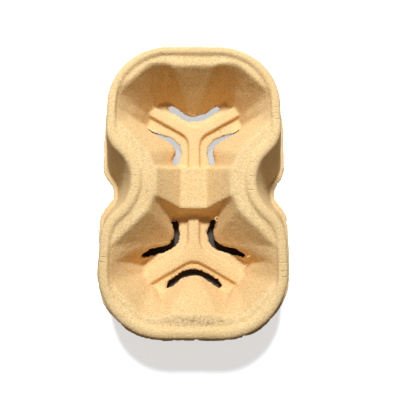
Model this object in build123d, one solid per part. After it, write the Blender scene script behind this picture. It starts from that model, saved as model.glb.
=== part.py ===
from build123d import *
from math import atan, atan2, cos, degrees, pi, radians, sin, tan
import os

# Two-cup carrier pressed from wet paper pulp in one sheet of nearly even wall.
# The origin is on the table, under the middle of the saddle between the two cup wells.
# Y runs from cup to cup, X across the waist, Z up.  All sizes are in millimetres.

# Overall sizes
height = 46.0
wall = 2.0

# Cup wells, measured where they open inside the rim
well_pitch = 96.0
well_end_reach = 41.0
well_side_reach = 55.0
well_edge_round = 1.6
end_lobe_depth = 2.5
side_lobe_depth = 1.0
lobe_chamfer = 33.0
lobe_radius = 28.0
end_finger_width = 29.0
side_finger_lead = 2.0
end_flank_run = 5.0
side_flank_run = 10.0
finger_crease_radius = 6.0

# Rim: a rounded bead that stands above the flat land round the wells
land_end_width = 16.5
land_side_width = 8.5
rim_corner_radius = 45.0
rim_waist_width = 87.0
shoulder_lead = 5.0
bead_width = 6.5
bead_height = 2.4
bead_outer_round = 3.6
bead_inner_round = 1.5

# Skirt down to the table, and the trimmed lip round its foot
end_flare = 5.0
side_flare = 9.0
waist_flare = 19.0
foot_corner_radius = 50.0
foot_waist_run = 25.0
lip_width = 4.0

# Star-shaped floor of each well
floor_height = 7.0
arm_reach = 38.5
arm_end_radius = 8.0
arm_end_width = 10.0
arm_end_bulge = 1.0
valley_width = 28.0
nose_width = 8.0
nose_radius = 12.0
rib_width = 8.0
rib_height = 4.0
rib_draft = 14.0
rib_fork_radius = 12.0
rib_run_in = 5.0

# Slots that free the noses of the fingers from the floor
slot_width = 4.0
slot_depth = 14.0
end_slot_apex = 10.5
side_slot_apex = 12.5
end_slot_half_angle = 53.0
side_slot_half_angle = 46.0
end_slot_bend_radius = 20.0
side_slot_bend_radius = 12.0
end_slot_leg = 26.0
side_slot_leg = 30.0
saddle_slot_leg = 20.0

# Saddle between the wells, and the trough along it
saddle_top_width = 21.0
saddle_top_span = 54.0
saddle_foot_width = 40.0
saddle_corner_radius = 4.0
saddle_shoulder_span = 4.0
saddle_shoulder_run = 11.0
trough_floor_height = 22.5
trough_floor_width = 20.0
trough_top_width = 50.0

# Sizes that follow from those above
ARM_COUNT = 3
ARM_STEP = 360.0 / ARM_COUNT
SADDLE_ARM = -90.0
HALF_FORK = radians(ARM_STEP / 2)
ROUND_SHARE = 0.46
FLANK_SHARE = 0.8
well_middle = well_pitch / 2
land_height = height - bead_height
rim_length = well_pitch + 2 * (well_end_reach + land_end_width)
rim_width = 2 * (well_side_reach + land_side_width)
rim_waist_run = well_middle - shoulder_lead
foot_length = rim_length + 2 * end_flare
foot_width = rim_width + 2 * side_flare
foot_waist_width = rim_waist_width + 2 * waist_flare
valley_half = valley_width / 2
nose_reach = valley_half / sin(HALF_FORK) + nose_width / 2 / tan(HALF_FORK)


def waisted_outline(length, width, corner_radius, waist_width, waist_run, inset):
    """Face of a long outline with round corners and a waist of two equal bends, moved inwards evenly."""
    half_length = length / 2
    half_width = width / 2
    pinch = half_width - waist_width / 2
    sweep = 2 * atan(pinch / waist_run)
    bend_radius = waist_run / (2 * sin(sweep))
    turn = degrees(sweep)
    end = Line((0, half_length - inset), (half_width - corner_radius, half_length - inset))
    corner = JernArc(end @ 1, (1, 0), corner_radius - inset, -90)
    side = Line(corner @ 1, (half_width - inset, waist_run))
    shoulder = JernArc(side @ 1, (0, -1), bend_radius - inset, -turn)
    waist = JernArc(shoulder @ 1, shoulder % 1, bend_radius + inset, turn)
    quarter = Curve() + [end, corner, side, shoulder, waist]
    half = Curve() + [quarter, mirror(quarter, about=Plane.XZ)]
    return make_face(Curve() + [half, mirror(half, about=Plane.YZ)])


def rim_outline(inset):
    """Outline of the rim, moved inwards."""
    return waisted_outline(rim_length, rim_width, rim_corner_radius, rim_waist_width, rim_waist_run, inset)


def foot_outline(inset):
    """Outline of the skirt on the table, moved inwards."""
    return waisted_outline(foot_length, foot_width, foot_corner_radius,
                           foot_waist_width, foot_waist_run, inset)


def corner_arc(before, here, after, radius, growth):
    """Three points of the arc that rounds a corner of a clockwise polygon grown outwards."""
    into = (here - before).normalized()
    out = (after - here).normalized()
    into_normal = Vector(-into.Y, into.X)
    out_normal = Vector(-out.Y, out.X)
    tip = here + (into_normal + out_normal) * (growth / (1 + into_normal.dot(out_normal)))
    turn = into.cross(out).Z
    half_angle = atan2(abs(turn), into.dot(out)) / 2
    grown_radius = radius + growth if turn < 0 else radius - growth
    room = min((here - before).length, (after - here).length) * ROUND_SHARE
    reach = min(grown_radius * tan(half_angle), room)
    bulge = reach / tan(half_angle) * (1 / cos(half_angle) - 1)
    return tip - into * reach, tip + (out - into).normalized() * bulge, tip + out * reach


def rounded_polygon(right, radii, growth):
    """Face of a polygon given by its right half from the top down, grown outwards and rounded."""
    corners = right + [Vector(-corner.X, corner.Y) for corner in reversed(right)]
    rounds = radii + radii[::-1]
    arcs = []
    for index, radius in enumerate(rounds):
        after = corners[(index + 1) % len(corners)]
        arcs.append(corner_arc(corners[index - 1], corners[index], after, radius, growth))
    edges = []
    for index, arc in enumerate(arcs):
        edges.append(Line(arcs[index - 1][2], arc[0]))
        edges.append(ThreePointArc(*arc))
    return make_face(Curve() + edges)


def from_middle(reach, left, angle):
    """Point at a reach along a ray from the middle of the well, and to the left of that ray."""
    return Vector(0, well_middle) + Vector(reach, left).rotate(Axis.Z, angle)


def well_mouth(growth):
    """Outline of a well where it opens from the land inside the rim."""
    end = well_middle + well_end_reach
    side = well_middle - side_finger_lead
    lobe_end = end + end_lobe_depth
    lobe_side = well_side_reach + side_lobe_depth
    cut = lobe_chamfer * cos(pi / 4)
    saddle_span = saddle_top_span / 2
    saddle_edge = saddle_top_width / 2
    right = [
        Vector(end_finger_width / 2, end),
        Vector(end_finger_width / 2 + end_flank_run, end + FLANK_SHARE * end_lobe_depth),
        Vector(lobe_side - cut, lobe_end),
        Vector(lobe_side, lobe_end - cut),
        Vector(well_side_reach + FLANK_SHARE * side_lobe_depth, side + side_flank_run),
        Vector(well_side_reach, side),
        Vector(saddle_span + saddle_shoulder_span, saddle_edge + saddle_shoulder_run),
        Vector(saddle_span, saddle_edge),
    ]
    crease = finger_crease_radius
    radii = [crease, crease, lobe_radius, lobe_radius, crease, crease, crease, saddle_corner_radius]
    return rounded_polygon(right, radii, growth)


def well_floor(growth):
    """Outline of the star-shaped valley at the foot of a well."""
    arm = SADDLE_ARM + ARM_STEP
    nose = arm - ARM_STEP / 2
    right = [
        Vector(nose_width / 2, well_middle + nose_reach),
        from_middle(arm_reach, valley_half, arm),
        from_middle(arm_reach + arm_end_bulge, arm_end_width / 2, arm),
        from_middle(arm_reach + arm_end_bulge, -arm_end_width / 2, arm),
        from_middle(arm_reach, -valley_half, arm),
        from_middle(nose_reach, nose_width / 2, nose),
        from_middle(nose_reach, -nose_width / 2, nose),
        Vector(valley_half, saddle_foot_width / 2),
    ]
    radii = [nose_radius] + [arm_end_radius] * 4 + [nose_radius, nose_radius, saddle_corner_radius]
    return rounded_polygon(right, radii, growth)


def star(half_width, fork_radius):
    """Face of the three arms of the rib, which run into the walls, with round forks between them."""
    saddle_reach = well_middle - saddle_foot_width / 2
    reaches = [saddle_reach] + [arm_reach] * (ARM_COUNT - 1)
    middle = Pos(0, well_middle)
    face = Sketch()
    for index, reach in enumerate(reaches):
        length = reach + rib_run_in
        bar = Pos(length / 2, 0) * Rectangle(length, 2 * half_width)
        face += middle * Rot(0, 0, SADDLE_ARM + index * ARM_STEP) * bar
    forks = face.vertices().sort_by_distance((0, well_middle))[:ARM_COUNT]
    return fillet(forks, fork_radius)


def well(thickness):
    """Space of one cup well, grown by a wall to give its underside."""
    foot = Pos(0, 0, floor_height - thickness) * well_floor(thickness)
    throat = Pos(0, 0, land_height - well_edge_round) * well_mouth(thickness)
    mouth = Pos(0, 0, land_height) * well_mouth(thickness + well_edge_round)
    return loft([foot, throat], ruled=True) + loft([throat, mouth], ruled=True)


def trough(thickness):
    """Open channel along the saddle, grown by a wall to give its underside."""
    floor_half = trough_floor_width / 2 + thickness
    top_half = trough_top_width / 2 + thickness
    right = [
        (floor_half, trough_floor_height - thickness),
        (top_half, land_height - well_edge_round),
        (top_half + well_edge_round, land_height),
    ]
    left = [(-x, z) for x, z in reversed(right)]
    section = make_face(Polyline(*right, *left, close=True))
    return extrude(Plane.XZ * section, saddle_top_width, both=True)


def rib(thickness):
    """Raised three-armed rib on the floor of a well, shrunk by a wall for its underside."""
    foot_half = rib_width / 2 + rib_height * tan(radians(rib_draft)) - thickness
    foot = Pos(0, 0, floor_height - thickness) * star(foot_half, rib_fork_radius + thickness)
    return extrude(foot, rib_height, taper=rib_draft)


def blank(thickness):
    """Solid below one skin of the sheet before the wells are pressed, with its bead rounded."""
    rim = Pos(0, 0, height - thickness) * rim_outline(thickness)
    body = loft([foot_outline(thickness), rim], ruled=True)
    body = fillet(body.faces().sort_by(Axis.Z)[-1].edges(), bead_outer_round - thickness)
    land = Pos(0, 0, land_height - thickness) * rim_outline(bead_width - thickness)
    return body - extrude(land, 2 * bead_height)


def pressed_form(thickness):
    """Solid below one skin of the finished sheet: the upper one, or the one a wall below it."""
    cut = well(thickness)
    ridge = rib(thickness)
    body = blank(thickness) - cut - mirror(cut, about=Plane.XZ) - trough(thickness)
    return body + ridge + mirror(ridge, about=Plane.XZ)


def slot(apex, half_angle, left_leg, right_leg, bend_radius):
    """Face of one slot bent round the nose of a finger, whose axis is laid along X."""
    left = Vector(apex, 0) + Vector(left_leg, 0).rotate(Axis.Z, half_angle)
    right = Vector(apex, 0) + Vector(right_leg, 0).rotate(Axis.Z, -half_angle)
    return trace(FilletPolyline(left, (apex, 0), right, radius=bend_radius), slot_width)


def slots():
    """Bent slots that free the noses of the fingers from the floor."""
    end = slot(end_slot_apex, end_slot_half_angle, end_slot_leg, end_slot_leg, end_slot_bend_radius)
    side = slot(side_slot_apex, side_slot_half_angle, side_slot_leg, saddle_slot_leg, side_slot_bend_radius)
    base = Pos(0, well_middle, floor_height - 2 * wall)
    end_cutter = extrude(base * Rot(0, 0, -SADDLE_ARM) * end, slot_depth)
    side_cutter = extrude(base * Rot(0, 0, SADDLE_ARM + ARM_STEP / 2) * side, slot_depth)
    cutter = end_cutter + side_cutter + mirror(side_cutter, about=Plane.YZ)
    return cutter + mirror(cutter, about=Plane.XZ)


lip = extrude(foot_outline(-lip_width), wall)
carrier = pressed_form(0) + lip - pressed_form(wall) - slots()
crest = carrier.faces().filter_by(Plane.XY).sort_by(Axis.Z)[-1]
carrier = fillet(crest.inner_wires()[0].edges(), bead_inner_round)

os.makedirs("parts", exist_ok=True)
export_step(carrier, "parts/cup_carrier.step")
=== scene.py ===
"""Dresses a two-cup carrier of pressed paper pulp and sets it under plain studio light."""
import logging
import math
from dataclasses import dataclass, field
from enum import Enum

import bmesh
import bpy
import numpy as np
from mathutils import Matrix, Vector, noise
from mathutils.bvhtree import BVHTree
from mathutils.kdtree import KDTree


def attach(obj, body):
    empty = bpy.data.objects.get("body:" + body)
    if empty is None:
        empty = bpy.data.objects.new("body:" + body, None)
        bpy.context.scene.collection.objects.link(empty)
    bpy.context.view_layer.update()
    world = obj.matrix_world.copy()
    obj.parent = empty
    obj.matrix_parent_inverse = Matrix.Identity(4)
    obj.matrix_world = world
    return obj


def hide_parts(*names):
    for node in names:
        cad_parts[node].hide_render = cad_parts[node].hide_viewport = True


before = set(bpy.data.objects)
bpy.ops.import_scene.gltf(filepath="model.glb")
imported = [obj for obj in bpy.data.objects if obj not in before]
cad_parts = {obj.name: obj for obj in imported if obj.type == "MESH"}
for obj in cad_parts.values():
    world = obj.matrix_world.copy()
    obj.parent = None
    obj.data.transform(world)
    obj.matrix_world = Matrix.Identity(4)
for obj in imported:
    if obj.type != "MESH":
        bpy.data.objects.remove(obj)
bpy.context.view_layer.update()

MM = 0.001
NOISE_ROUGHNESS = 0.55
BEAD_TOP_MM = 45.0
MARK_REACH_MM = 6.0
CRACK_CORE = 0.2
log = logging.getLogger("cup_carrier")

Colour = tuple[float, float, float]
Range = tuple[float, float]


class Noise(Enum):
    """How many finer octaves a noise texture adds."""

    SMOOTH = 1.0
    CLOUDY = 4.0


@dataclass(frozen=True)
class Spot:
    """Place on the sheet or the floor that a mark covers.

    Args:
        middle_mm: Middle of the mark.
        half_mm: Half its length along each axis.
        core: Share of the mark that has its full strength.
    """

    middle_mm: tuple[float, float, float]
    half_mm: tuple[float, float, float]
    core: float = 0.35


def bead_crack(x_mm: float, y_mm: float, half_length_mm: float, half_width_mm: float) -> Spot:
    """Place of one crack that runs along X over the bead.

    Args:
        x_mm: Middle of the crack along X.
        y_mm: Middle of the crack along Y.
        half_length_mm: Half its length.
        half_width_mm: Half its width.

    Returns:
        The spot that it covers.
    """
    return Spot((x_mm, y_mm, BEAD_TOP_MM), (half_length_mm, half_width_mm, MARK_REACH_MM), CRACK_CORE)


@dataclass(frozen=True)
class NodeBench:
    """Small helper that adds shader nodes to one material.

    Args:
        material: The material whose nodes are made.
    """

    material: bpy.types.Material

    def add(self, kind: str, **sockets: object) -> bpy.types.Node:
        """Adds one node and sets or links its inputs.

        Args:
            kind: Blender's type name of the node.
            sockets: Input names, with underscores for spaces, and a value or an output socket.

        Returns:
            The new node.
        """
        node = self.material.node_tree.nodes.new(kind)
        for name, value in sockets.items():
            self.put(node.inputs[name.replace("_", " ")], value)
        return node

    def put(self, socket: bpy.types.NodeSocket, value: object) -> None:
        """Links an output to a socket, or sets the socket's value.

        Args:
            socket: The input to fill.
            value: An output socket, a number or a colour.
        """
        if isinstance(value, bpy.types.NodeSocket):
            self.material.node_tree.links.new(value, socket)
        else:
            socket.default_value = value

    def noise(self, place: bpy.types.NodeSocket, feature_mm: float, kind: Noise) -> bpy.types.NodeSocket:
        """Noise with features of a stated size.

        Args:
            place: Coordinates in metres.
            feature_mm: Size of the largest features.
            kind: How many finer octaves it has.

        Returns:
            The noise as a number about one half.
        """
        node = self.add("ShaderNodeTexNoise", Vector=place, Scale=1.0 / (feature_mm * MM),
                        Detail=kind.value, Roughness=NOISE_ROUGHNESS)
        return node.outputs["Fac"]

    def ramp(self, value: bpy.types.NodeSocket, low: float, high: float) -> bpy.types.NodeSocket:
        """Smooth step of a value from 0 at low to 1 at high.

        Args:
            value: The number to map.
            low: Where the step starts.
            high: Where the step ends.

        Returns:
            The mapped number.
        """
        node = self.material.node_tree.nodes.new("ShaderNodeMapRange")
        node.interpolation_type = "SMOOTHSTEP"
        self.put(node.inputs["Value"], value)
        self.put(node.inputs["From Min"], low)
        self.put(node.inputs["From Max"], high)
        return node.outputs["Result"]

    def math(self, operation: str, first: object, second: object) -> bpy.types.NodeSocket:
        """Sum, product or other simple result of two numbers.

        Args:
            operation: Blender's name of the operation.
            first: A socket or a number.
            second: A socket or a number.

        Returns:
            The result.
        """
        node = self.material.node_tree.nodes.new("ShaderNodeMath")
        node.operation = operation
        self.put(node.inputs[0], first)
        self.put(node.inputs[1], second)
        return node.outputs[0]

    def mix(self, share: object, first: object, second: object) -> bpy.types.NodeSocket:
        """Blend of two colours.

        Args:
            share: How much of the second colour shows.
            first: A colour or a colour socket.
            second: A colour or a colour socket.

        Returns:
            The mixed colour.
        """
        node = self.material.node_tree.nodes.new("ShaderNodeMix")
        node.data_type = "RGBA"
        self.put(node.inputs["Factor"], share)
        self.put(node.inputs["A"], as_rgba(first))
        self.put(node.inputs["B"], as_rgba(second))
        return node.outputs["Result"]

    def tint(self, mask: bpy.types.NodeSocket, strength: float, first: object,
             second: object) -> bpy.types.NodeSocket:
        """Lays a second colour over a first where a mask lies.

        Args:
            mask: Where the second colour shows.
            strength: How much of it shows at most.
            first: A colour or a colour socket.
            second: A colour or a colour socket.

        Returns:
            The tinted colour.
        """
        return self.mix(self.math("MULTIPLY", mask, strength), first, second)

    def spot(self, place: bpy.types.NodeSocket, spot: Spot) -> bpy.types.NodeSocket:
        """Soft mask that is 1 in the middle of a spot and 0 outside it.

        Args:
            place: Coordinates in metres.
            spot: Where the mask lies.

        Returns:
            The mask.
        """
        shift = self.vector("SUBTRACT", place, tuple(value * MM for value in spot.middle_mm))
        share = self.vector("MULTIPLY", shift, tuple(1.0 / (value * MM) for value in spot.half_mm))
        length = self.material.node_tree.nodes.new("ShaderNodeVectorMath")
        length.operation = "LENGTH"
        self.put(length.inputs[0], share)
        return self.ramp(length.outputs["Value"], 1.0, spot.core)

    def spots(self, place: bpy.types.NodeSocket, spots: tuple[Spot, ...]) -> bpy.types.NodeSocket:
        """Mask of several spots together.

        Args:
            place: Coordinates in metres.
            spots: Where the mask lies.

        Returns:
            The mask.
        """
        mask = self.spot(place, spots[0])
        for spot in spots[1:]:
            mask = self.math("MAXIMUM", mask, self.spot(place, spot))
        return mask

    def vector(self, operation: str, first: object, second: object) -> bpy.types.NodeSocket:
        """Result of two vectors.

        Args:
            operation: Blender's name of the operation.
            first: A socket or a vector.
            second: A socket or a vector.

        Returns:
            The resulting vector.
        """
        node = self.material.node_tree.nodes.new("ShaderNodeVectorMath")
        node.operation = operation
        self.put(node.inputs[0], first)
        self.put(node.inputs[1], second)
        return node.outputs["Vector"]


def as_rgba(colour: object) -> object:
    """Adds full opacity to a plain colour and leaves a socket alone."""
    return (*colour, 1.0) if isinstance(colour, tuple) and len(colour) == 3 else colour


def blank_material(name: str) -> NodeBench:
    """Makes a material with no nodes.

    Args:
        name: The material's name.

    Returns:
        A bench for its nodes.
    """
    material = bpy.data.materials.new(name)
    material.use_nodes = True
    material.node_tree.nodes.clear()
    return NodeBench(material)


@dataclass(frozen=True)
class PulpFinish:
    """Matte unbleached paper pulp: felted grain, sparse flecks, a scuffed end and a cracked rim."""

    sheet: Colour = (0.86, 0.56, 0.25)
    pale: Colour = (1.0, 0.75, 0.41)
    warm: Colour = (0.66, 0.36, 0.12)
    fleck: Colour = (0.30, 0.17, 0.07)
    dirt: Colour = (0.36, 0.22, 0.11)
    roughness: float = 0.92
    specular: float = 0.15
    cloud_range: Range = (0.3, 0.7)
    cloud_share: float = 0.22
    pale_range: Range = (0.5, 0.66)
    pale_share: float = 0.5
    warm_range: Range = (0.5, 0.36)
    warm_share: float = 0.6
    fleck_range: Range = (0.76, 0.82)
    fleck_share: float = 0.5
    speckle_range: Range = (0.56, 0.42)
    scuff_speckle: float = 0.4
    scuff_dust: float = 0.08
    smudge_share: float = 0.8
    grain_mm: float = 1.0
    felt_mm: float = 2.4
    cloud_mm: float = 30.0
    fleck_mm: float = 1.5
    grain_depth_mm: float = 0.32
    felt_depth_mm: float = 0.32
    crack_depth_mm: float = 0.3
    cracks: tuple[Spot, ...] = (
        bead_crack(41.0, 13.5, 4.5, 0.7),
        bead_crack(41.0, 3.0, 4.0, 0.6),
        bead_crack(39.5, -3.0, 2.5, 0.6),
        bead_crack(40.0, -7.0, 4.0, 0.8),
        bead_crack(-41.0, 3.5, 3.5, 0.6),
        bead_crack(-39.5, -5.5, 2.5, 0.7),
        bead_crack(60.5, 55.5, 3.5, 0.7),
        bead_crack(59.5, 51.0, 3.0, 0.6),
        bead_crack(61.0, 46.0, 3.0, 0.8),
        bead_crack(60.5, -57.0, 3.5, 0.8),
        bead_crack(60.0, -62.5, 3.0, 0.7),
        bead_crack(60.5, -66.0, 3.5, 0.6),
        bead_crack(-60.0, -53.0, 3.0, 0.7),
        bead_crack(-61.0, -56.5, 3.0, 0.6),
    )
    scuff: Spot = Spot((0.0, -95.0, 44.0), (24.0, 5.0, 6.0), 0.2)
    smudges: tuple[Spot, ...] = (
        Spot((9.5, -96.0, 44.0), (4.0, 2.2, 6.0)),
        Spot((0.5, -94.5, 44.0), (2.2, 1.6, 6.0)),
        Spot((18.0, -94.5, 44.0), (2.0, 1.2, 6.0)),
        Spot((-38.0, 23.0, 44.0), (1.3, 2.0, 6.0)),
        Spot((-32.5, -8.0, 44.0), (1.6, 1.6, 6.0)),
        Spot((-28.5, 104.0, 45.0), (1.6, 0.8, 6.0)),
        Spot((27.5, 99.0, 44.0), (1.6, 0.8, 6.0)),
    )

    def material(self) -> bpy.types.Material:
        """Builds the shader.

        Returns:
            The finished material.
        """
        bench = blank_material("pressed_pulp")
        place = bench.add("ShaderNodeTexCoord").outputs["Object"]
        grain = bench.noise(place, self.grain_mm, Noise.CLOUDY)
        shader = bench.add("ShaderNodeBsdfPrincipled", Base_Color=self.colour(bench, place, grain),
                           Roughness=self.roughness, Normal=self.relief(bench, place, grain),
                           Specular_IOR_Level=self.specular)
        bench.add("ShaderNodeOutputMaterial", Surface=shader.outputs["BSDF"])
        return bench.material

    def colour(self, bench: NodeBench, place: bpy.types.NodeSocket,
               grain: bpy.types.NodeSocket) -> bpy.types.NodeSocket:
        """Mixes the colour of the pulp and its marks.

        Args:
            bench: Where the nodes are made.
            place: Coordinates in metres.
            grain: The finest noise.

        Returns:
            The colour.
        """
        cloud = bench.ramp(bench.noise(place, self.cloud_mm, Noise.SMOOTH), *self.cloud_range)
        flecks = bench.ramp(bench.noise(place, self.fleck_mm, Noise.SMOOTH), *self.fleck_range)
        speckle = bench.ramp(grain, *self.speckle_range)
        colour = bench.tint(cloud, self.cloud_share, self.sheet, self.warm)
        colour = bench.tint(bench.ramp(grain, *self.pale_range), self.pale_share, colour, self.pale)
        colour = bench.tint(bench.ramp(grain, *self.warm_range), self.warm_share, colour, self.warm)
        colour = bench.tint(flecks, self.fleck_share, colour, self.fleck)
        dusty = bench.math("ADD", bench.math("MULTIPLY", speckle, self.scuff_speckle), self.scuff_dust)
        worn = bench.math("MULTIPLY", bench.spot(place, self.scuff), dusty)
        colour = bench.mix(worn, colour, self.dirt)
        for smudge in self.smudges:
            stain = bench.math("MULTIPLY", bench.spot(place, smudge), speckle)
            colour = bench.tint(stain, self.smudge_share, colour, self.dirt)
        return colour

    def relief(self, bench: NodeBench, place: bpy.types.NodeSocket,
               grain: bpy.types.NodeSocket) -> bpy.types.NodeSocket:
        """Felted relief of the skin and the cracks across the rim.

        Args:
            bench: Where the nodes are made.
            place: Coordinates in metres.
            grain: The finest noise.

        Returns:
            The bent normal.
        """
        felt = bench.noise(place, self.felt_mm, Noise.CLOUDY)
        bump = bench.add("ShaderNodeBump", Height=felt, Distance=self.felt_depth_mm * MM, Strength=1.0)
        bump = bench.add("ShaderNodeBump", Height=grain, Distance=self.grain_depth_mm * MM, Strength=1.0,
                         Normal=bump.outputs["Normal"])
        depth = bench.math("MULTIPLY", bench.spots(place, self.cracks), -1.0)
        bump = bench.add("ShaderNodeBump", Height=depth, Distance=self.crack_depth_mm * MM, Strength=1.0,
                         Normal=bump.outputs["Normal"])
        return bump.outputs["Normal"]


@dataclass(frozen=True)
class FloorFinish:
    """Matte floor that takes the shadow: white round the carrier, painted shade and painted grey light
    beneath it.
    """

    white: Colour = (0.97, 0.97, 0.97)
    plain: Colour = (0.58, 0.47, 0.36)
    # Painted shade: the near black colour the camera sees on the floor under the carrier, in place of
    # its lit patches.
    painted_shade: Colour = (0.10, 0.075, 0.06)
    # Camera-only glow: keeps the floor evenly white round the carrier, and under the far well it is
    # painted light that lifts the painted shade to a flat grey.
    glow: float = 0.6
    # Under the near well the floor shows painted shade, black through the slots; under the far well it
    # shows painted grey light.
    near_well: Spot = Spot((0.0, -45.0, 0.0), (62.0, 62.0, 50.0), 0.85)
    far_well: Spot = Spot((0.0, 55.0, 0.0), (52.0, 42.0, 50.0), 0.85)

    def material(self) -> bpy.types.Material:
        """Builds the shader.

        Returns:
            The finished material.
        """
        bench = blank_material("pale_floor")
        place = bench.add("ShaderNodeTexCoord").outputs["Object"]
        seen = bench.add("ShaderNodeLightPath").outputs["Is Camera Ray"]
        # Painted shade under both wells for camera rays; the glow is cut off only under the near well,
        # where the painted shade shows black.
        painted_black_mask = bench.spot(place, self.near_well)
        under = bench.spots(place, (self.near_well, self.far_well))
        around = bench.math("MULTIPLY", seen, bench.math("SUBTRACT", 1.0, under))
        bright = bench.math("MULTIPLY", seen, bench.math("SUBTRACT", 1.0, painted_black_mask))
        shade = bench.mix(seen, self.plain, self.painted_shade)
        paint = bench.add("ShaderNodeBsdfDiffuse", Color=bench.mix(around, shade, self.white))
        glow = bench.add("ShaderNodeEmission", Strength=bench.math("MULTIPLY", bright, self.glow))
        both = bench.material.node_tree.nodes.new("ShaderNodeAddShader")
        bench.put(both.inputs[0], paint.outputs["BSDF"])
        bench.put(both.inputs[1], glow.outputs["Emission"])
        bench.add("ShaderNodeOutputMaterial", Surface=both.outputs["Shader"])
        return bench.material


@dataclass(frozen=True)
class Lumps:
    """Gentle unevenness that drying leaves in the skin.

    Args:
        size_mm: Width of one lump.
        height_mm: How far the skin rises and falls.
    """

    size_mm: float
    height_mm: float

    def rise(self, point: Vector) -> float:
        """Height of the skin at a point, in metres."""
        return noise.noise(point / (self.size_mm * MM)) * self.height_mm * MM


@dataclass(frozen=True)
class TornEdge:
    """Ragged edge where the sheet was trimmed or punched through.

    Args:
        lowest_mm: Lowest height of the cut faces that belong to it.
        highest_mm: Highest height of those faces.
        reach_mm: How far from the cut the sheet is disturbed.
        wander_mm: How far the edge wanders in and out.
        nick_mm: Depth of the nicks in it.
        tooth_mm: Width of one nick.
        calm: Level of the noise, from -1 to 1, below which there are no nicks.
        broad_teeth: Length of one wander, in nicks.
        upright: Largest slope of a cut face's normal.
        step_mm: Distance between the points that stand for the cut.
    """

    lowest_mm: float
    highest_mm: float
    reach_mm: float
    wander_mm: float
    nick_mm: float
    tooth_mm: float
    calm: float
    broad_teeth: float = 4.0
    upright: float = 0.02
    step_mm: float = 1.0

    def cut_points(self, mesh: bpy.types.Mesh) -> list[tuple[Vector, Vector]]:
        """Points spread over the upright cut faces of the solid.

        Args:
            mesh: The solid's mesh.

        Returns:
            Points, each with the outward direction of its face.
        """
        points = []
        for face in mesh.polygons:
            height = face.center.z / MM
            if abs(face.normal.z) > self.upright or not self.lowest_mm <= height <= self.highest_mm:
                continue
            way = face.normal.copy()
            corners = [mesh.vertices[index].co for index in face.vertices]
            for first, second in zip(corners, corners[1:] + corners[:1]):
                steps = max(1, round((second - first).length / (self.step_mm * MM)))
                points += [(first.lerp(second, step / steps), way) for step in range(steps)]
        return points

    def shift(self, point: Vector) -> float:
        """How far the edge is moved outwards at a point, in metres."""
        broad = noise.noise(point / (self.broad_teeth * self.tooth_mm * MM))
        fine = noise.noise(point / (self.tooth_mm * MM))
        nick = max(0.0, fine - self.calm) / (1.0 - self.calm)
        return (broad * self.wander_mm - nick * self.nick_mm) * MM


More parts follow.
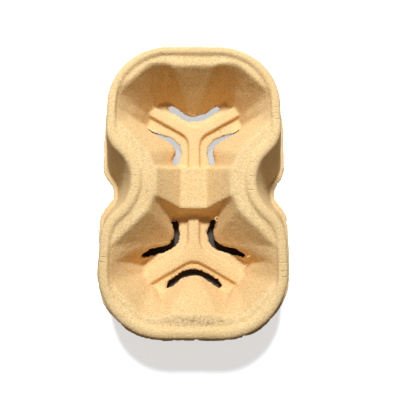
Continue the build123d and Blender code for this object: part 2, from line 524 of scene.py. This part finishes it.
@dataclass
class PulpSheet:
    """The carrier itself: one pressed sheet with soft edges and a felted skin."""

    node: str = "cup_carrier"
    name: str = "pulp_sheet"
    slot: str = "pulp"
    merge_mm: float = 0.01
    voxel_mm: float = 1.05
    triangles: int = 190_000
    rim_passes: int = 1
    well_passes: int = 1
    smooth_share: float = 0.5
    rim_floor_mm: float = 43.0
    lumps: tuple[Lumps, ...] = (Lumps(17.0, 0.22), Lumps(6.0, 0.14), Lumps(2.2, 0.07))
    torn: tuple[TornEdge, ...] = (
        TornEdge(lowest_mm=0.0, highest_mm=2.0, reach_mm=4.0,
                 wander_mm=0.9, nick_mm=3.0, tooth_mm=3.4, calm=0.25),
        TornEdge(lowest_mm=2.5, highest_mm=18.0, reach_mm=2.4,
                 wander_mm=0.8, nick_mm=2.6, tooth_mm=1.9, calm=-0.1),
    )
    finish: PulpFinish = field(default_factory=PulpFinish)

    def build(self) -> bpy.types.Object:
        """Makes the sheet from the solid's own surface.

        Returns:
            The finished object.
        """
        sheet = self.solid_copy()
        self.remesh(sheet)
        self.soften(sheet.data)
        self.weather(sheet.data)
        self.lighten(sheet)
        sheet.data.materials.clear()
        sheet.data.materials.append(self.finish.material())
        sheet.data.shade_smooth()
        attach(sheet, "root")
        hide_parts(self.node)
        return sheet

    def solid_copy(self) -> bpy.types.Object:
        """Copies the solid's surface as one closed mesh.

        Returns:
            A loose object that holds the copy.
        """
        shape = bmesh.new()
        shape.from_mesh(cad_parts[self.node].data)
        bmesh.ops.remove_doubles(shape, verts=shape.verts, dist=self.merge_mm * MM)
        mesh = bpy.data.meshes.new(self.name)
        shape.to_mesh(mesh)
        shape.free()
        copy = bpy.data.objects.new(self.name, mesh)
        bpy.context.scene.collection.objects.link(copy)
        return copy

    def apply_modifiers(self, sheet: bpy.types.Object) -> None:
        """Turns the sheet's modifiers into its own mesh.

        Args:
            sheet: The object with modifiers.
        """
        graph = bpy.context.evaluated_depsgraph_get()
        mesh = bpy.data.meshes.new_from_object(sheet.evaluated_get(graph))
        sheet.modifiers.clear()
        sheet.data = mesh
        mesh.name = self.name

    def remesh(self, sheet: bpy.types.Object) -> None:
        """Gives the sheet an even net of small faces, so that its edges can soften.

        Args:
            sheet: The copy of the solid.
        """
        net = sheet.modifiers.new("even_net", "REMESH")
        net.mode = "VOXEL"
        net.voxel_size = self.voxel_mm * MM
        self.apply_modifiers(sheet)

    def soften(self, mesh: bpy.types.Mesh) -> None:
        """Rounds every edge a little, the wells more than the crisp rim.

        Args:
            mesh: The sheet's mesh.
        """
        shape = bmesh.new()
        shape.from_mesh(mesh)
        wells = [vert for vert in shape.verts if vert.co.z < self.rim_floor_mm * MM]
        for verts, passes in ((shape.verts, self.rim_passes), (wells, self.well_passes)):
            for _ in range(passes):
                bmesh.ops.smooth_vert(shape, verts=verts, factor=self.smooth_share,
                                      use_axis_x=True, use_axis_y=True, use_axis_z=True)
        shape.to_mesh(mesh)
        shape.free()

    def weather(self, mesh: bpy.types.Mesh) -> None:
        """Adds lumps and torn edges to the skin.

        Args:
            mesh: The sheet's mesh.
        """
        edges = [(edge, *self.cut_tree(edge)) for edge in self.torn]
        moved = []
        for vert in mesh.vertices:
            place = vert.co.copy()
            rise = sum(lump.rise(place) for lump in self.lumps)
            shift = vert.normal * rise
            for edge, tree, ways in edges:
                _, index, distance = tree.find(place)
                fade = max(0.0, 1.0 - distance / (edge.reach_mm * MM))
                shift += ways[index] * edge.shift(place) * fade
            moved.append(place + shift)
        mesh.vertices.foreach_set("co", np.array(moved, dtype=np.float32).ravel())
        self.settle(mesh)

    def settle(self, mesh: bpy.types.Mesh) -> None:
        """Lifts whatever sank below the table back onto it.

        Args:
            mesh: The sheet's mesh.
        """
        for vert in mesh.vertices:
            vert.co.z = max(vert.co.z, 0.0)
        mesh.update()

    def cut_tree(self, edge: TornEdge) -> tuple[KDTree, list[Vector]]:
        """Search tree over the cut faces of one kind of edge.

        Args:
            edge: The kind of edge.

        Returns:
            The tree and the outward direction at each of its points.
        """
        points = edge.cut_points(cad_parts[self.node].data)
        tree = KDTree(len(points))
        for index, (point, _) in enumerate(points):
            tree.insert(point, index)
        tree.balance()
        return tree, [way for _, way in points]

    def lighten(self, sheet: bpy.types.Object) -> None:
        """Thins out the net of the underside, where it is hardly seen.

        Args:
            sheet: The weathered sheet.
        """
        hidden = sheet.vertex_groups.new(name="underside")
        hidden.add([vert.index for vert in sheet.data.vertices if vert.normal.z < 0], 1.0, "REPLACE")
        sheet.data.calc_loop_triangles()
        thin = sheet.modifiers.new("thin_out", "DECIMATE")
        thin.ratio = min(1.0, self.triangles / len(sheet.data.loop_triangles))
        thin.vertex_group = hidden.name
        thin.vertex_group_factor = 1.0
        self.apply_modifiers(sheet)
        sheet.vertex_groups.clear()


@dataclass(frozen=True)
class Curl:
    """Loose curl of torn pulp at the edge of a slot.

    Args:
        foot_mm: Where it leaves the sheet, along X and Y.
        lift_mm: How far above the skin it starts.
        turn_deg: The way it sets off, seen from above.
        bend_mm: Radius of the curl.
        sweep_deg: How far round it goes.
        lean_deg: How far its loop leans up from lying flat.
        drop_mm: Height from which the skin below its foot is looked for.
    """

    foot_mm: tuple[float, float]
    lift_mm: float
    turn_deg: float
    bend_mm: float
    sweep_deg: float
    lean_deg: float
    drop_mm: float = 1000.0

    def place(self, skin: BVHTree) -> Matrix:
        """Works out how a strand that starts upwards from the origin is laid on the skin.

        Args:
            skin: Search tree over the sheet.

        Returns:
            The matrix that moves the strand there.
        """
        above = Vector((*self.foot_mm, self.drop_mm)) * MM
        foot, _, _, _ = skin.ray_cast(above, Vector((0.0, 0.0, -1.0)))
        level = Matrix.Rotation(math.pi / 2, 4, "Y")
        lay = Matrix.Rotation(math.radians(self.lean_deg - 90.0), 4, "X") @ level
        turn = Matrix.Rotation(math.radians(self.turn_deg), 4, "Z")
        return Matrix.Translation(foot + Vector((0.0, 0.0, self.lift_mm * MM))) @ turn @ lay


@dataclass
class TornFibres:
    """Curled shreds of pulp that punching left at the ends of the slots."""

    name: str = "torn_fibres"
    slot: str = "pulp"
    thick_mm: float = 0.8
    flatness: float = 1.8
    sides: int = 6
    steps: int = 12
    curls: tuple[Curl, ...] = (
        Curl((-13.4, -20.8), 0.8, 110.0, 2.3, 290.0, 8.0),
        Curl((18.6, -22.5), 0.6, 140.0, 1.6, 220.0, 30.0),
        Curl((-22.3, -75.2), 0.3, 40.0, 5.0, 60.0, 20.0),
        Curl((42.0, -51.5), 0.0, 165.0, 2.4, 80.0, 0.0),
        Curl((22.0, 51.5), 0.3, 75.0, 2.6, 120.0, 25.0),
        Curl((-23.0, 74.0), 0.3, -20.0, 3.6, 80.0, 25.0),
    )

    def build(self, sheet: bpy.types.Object) -> bpy.types.Object:
        """Makes all the curls as one object.

        Args:
            sheet: The finished sheet that they lie on.

        Returns:
            The finished object.
        """
        places = [vert.co for vert in sheet.data.vertices]
        skin = BVHTree.FromPolygons(places, [face.vertices for face in sheet.data.polygons])
        shape = bmesh.new()
        for curl in self.curls:
            self.strand(shape, curl, curl.place(skin))
        bmesh.ops.recalc_face_normals(shape, faces=shape.faces)
        mesh = bpy.data.meshes.new(self.name)
        shape.to_mesh(mesh)
        shape.free()
        mesh.materials.append(sheet.data.materials[0])
        mesh.shade_smooth()
        fibres = bpy.data.objects.new(self.name, mesh)
        bpy.context.scene.collection.objects.link(fibres)
        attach(fibres, "root")
        return fibres

    def strand(self, shape: bmesh.types.BMesh, curl: Curl, place: Matrix) -> None:
        """Spins a flat section round to make one curl.

        Args:
            shape: The mesh that takes the curl.
            curl: Its size.
            place: Where it lies.
        """
        before = set(shape.verts)
        section = bmesh.ops.create_circle(shape, cap_ends=True, segments=self.sides,
                                          radius=self.thick_mm * MM / 2)["verts"]
        bmesh.ops.scale(shape, vec=(1.0, self.flatness, 1.0), verts=section)
        edges = {edge for vert in section for edge in vert.link_edges}
        faces = {face for vert in section for face in vert.link_faces}
        bmesh.ops.spin(shape, geom=[*section, *edges, *faces], cent=(-curl.bend_mm * MM, 0.0, 0.0),
                       axis=(0.0, -1.0, 0.0), angle=math.radians(curl.sweep_deg), steps=self.steps)
        fresh = [vert for vert in shape.verts if vert not in before]
        bmesh.ops.transform(shape, matrix=place, verts=fresh)


@dataclass
class Studio:
    """Camera, floor, lamp and the room's own light."""

    aim_mm: tuple[float, float, float] = (4.5, -14.1, 46.0)
    stand_mm: tuple[float, float, float] = (2.0, -61.9, 285.3)
    focal_pixels: float = 353.0
    image_pixels: float = 400.0
    sensor_mm: float = 36.0
    clip_start_m: float = 0.01
    floor_half_m: float = 4.0
    floor_gap_mm: float = 0.2
    lamp_mm: tuple[float, float, float] = (-45.0, 590.0, 950.0)
    lamp_width_mm: float = 165.0
    lamp_watts: float = 18.8
    lamp_colour: Colour = (0.747, 0.86, 0.99)
    world_colour: Colour = (1.0, 0.9, 0.76)
    world_strength: float = 0.1
    backdrop_colour: Colour = (1.0, 1.0, 1.0)

    def build(self) -> None:
        """Sets up the whole studio."""
        self.camera()
        self.floor()
        self.lamp()
        self.world()
        bpy.context.scene.view_settings.view_transform = "Standard"

    def camera(self) -> None:
        """Puts the camera where the photograph was taken from, with Y upright in the picture."""
        data = bpy.data.cameras.new("viewpoint")
        data.sensor_width = self.sensor_mm
        data.lens = self.sensor_mm * self.focal_pixels / self.image_pixels
        data.clip_start = self.clip_start_m
        camera = bpy.data.objects.new("viewpoint", data)
        camera.location = Vector(self.stand_mm) * MM
        back = (Vector(self.stand_mm) - Vector(self.aim_mm)).normalized()
        right = Vector((0.0, 1.0, 0.0)).cross(back).normalized()
        camera.rotation_euler = Matrix((right, back.cross(right), back)).transposed().to_euler()
        bpy.context.scene.collection.objects.link(camera)
        bpy.context.scene.camera = camera

    def floor(self) -> None:
        """Lays a wide pale floor under the carrier."""
        shape = bmesh.new()
        bmesh.ops.create_grid(shape, x_segments=1, y_segments=1, size=self.floor_half_m)
        bmesh.ops.translate(shape, vec=(0.0, 0.0, -self.floor_gap_mm * MM), verts=shape.verts)
        mesh = bpy.data.meshes.new("floor")
        shape.to_mesh(mesh)
        shape.free()
        mesh.materials.append(FloorFinish().material())
        floor = bpy.data.objects.new("floor", mesh)
        bpy.context.scene.collection.objects.link(floor)

    def lamp(self) -> None:
        """Hangs one round lamp high past the far end."""
        data = bpy.data.lights.new("far_lamp", "AREA")
        data.shape = "DISK"
        data.size = self.lamp_width_mm * MM
        data.energy = self.lamp_watts
        data.color = self.lamp_colour
        lamp = bpy.data.objects.new("far_lamp", data)
        lamp.location = Vector(self.lamp_mm) * MM
        lamp.rotation_euler = lamp.location.to_track_quat("Z", "Y").to_euler()
        bpy.context.scene.collection.objects.link(lamp)

    def world(self) -> None:
        """Fills the room with a little even warm light, and shows white behind the floor."""
        world = bpy.data.worlds.new("room")
        world.use_nodes = True
        nodes = world.node_tree.nodes
        links = world.node_tree.links
        fill = nodes["Background"]
        fill.inputs["Color"].default_value = as_rgba(self.world_colour)
        fill.inputs["Strength"].default_value = self.world_strength
        backdrop = nodes.new("ShaderNodeBackground")
        backdrop.inputs["Color"].default_value = as_rgba(self.backdrop_colour)
        mix = nodes.new("ShaderNodeMixShader")
        links.new(nodes.new("ShaderNodeLightPath").outputs["Is Camera Ray"], mix.inputs[0])
        links.new(fill.outputs["Background"], mix.inputs[1])
        links.new(backdrop.outputs["Background"], mix.inputs[2])
        links.new(mix.outputs["Shader"], nodes["World Output"].inputs["Surface"])
        bpy.context.scene.world = world


def main() -> None:
    """Builds the carrier and the studio in order."""
    logging.basicConfig(level=logging.INFO, format="%(name)s: %(message)s")
    sheet = PulpSheet().build()
    fibres = TornFibres().build(sheet)
    for piece in (sheet, fibres):
        log.info("%s has %d faces", piece.name, len(piece.data.polygons))
    Studio().build()


if __name__ == "__main__":
    main()
